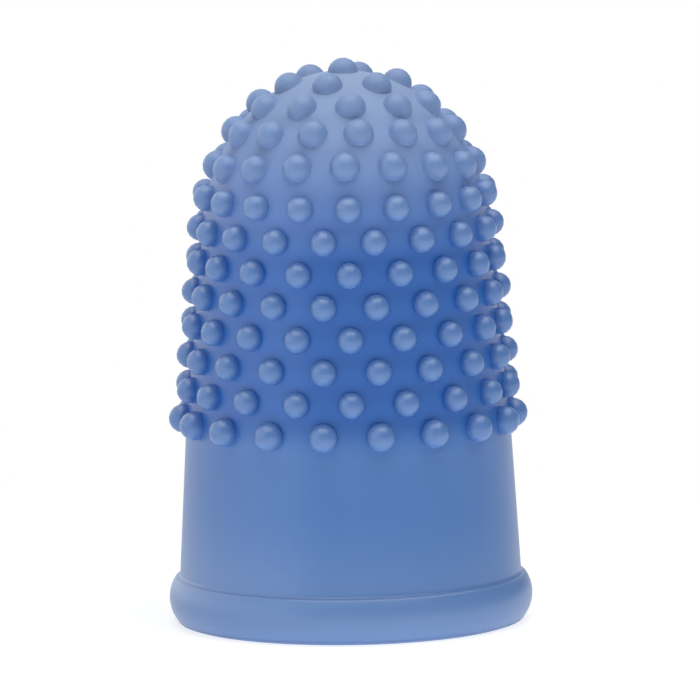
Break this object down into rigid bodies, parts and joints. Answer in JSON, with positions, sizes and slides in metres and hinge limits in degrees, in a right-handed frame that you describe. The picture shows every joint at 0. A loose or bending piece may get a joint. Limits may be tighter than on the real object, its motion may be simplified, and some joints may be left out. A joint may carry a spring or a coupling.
{
  "type": "rubber fingertip",
  "caption": "Thimble-shaped rubber fingertip with a rolled rim, a smooth collar and a studded, domed grip, worn on a finger for turning and counting paper.",
  "frame": {"origin": "centre of the mouth, on the surface that the rim stands on", "axes": "+Z along the bore from the mouth to the tip, -Y at the front, where the even stud rows have a stud"},
  "size_m": [0.0206, 0.0206, 0.0321],
  "materials": {
    "blue_rubber": "satin"
  },
  "bodies": {
    "root": {"rolled_rim": "blue_rubber", "collar": "blue_rubber", "grip_wall": "blue_rubber", "dome_cap": "blue_rubber", "stud_row_1": "blue_rubber", "stud_row_2": "blue_rubber", "stud_row_3": "blue_rubber", "stud_row_4": "blue_rubber", "stud_row_5": "blue_rubber", "stud_row_6": "blue_rubber", "stud_row_7": "blue_rubber", "stud_row_8": "blue_rubber", "dome_ring_1": "blue_rubber", "dome_ring_2": "blue_rubber", "dome_ring_3": "blue_rubber", "dome_ring_4": "blue_rubber", "tip_stud": "blue_rubber"}
  },
  "joints": []
}
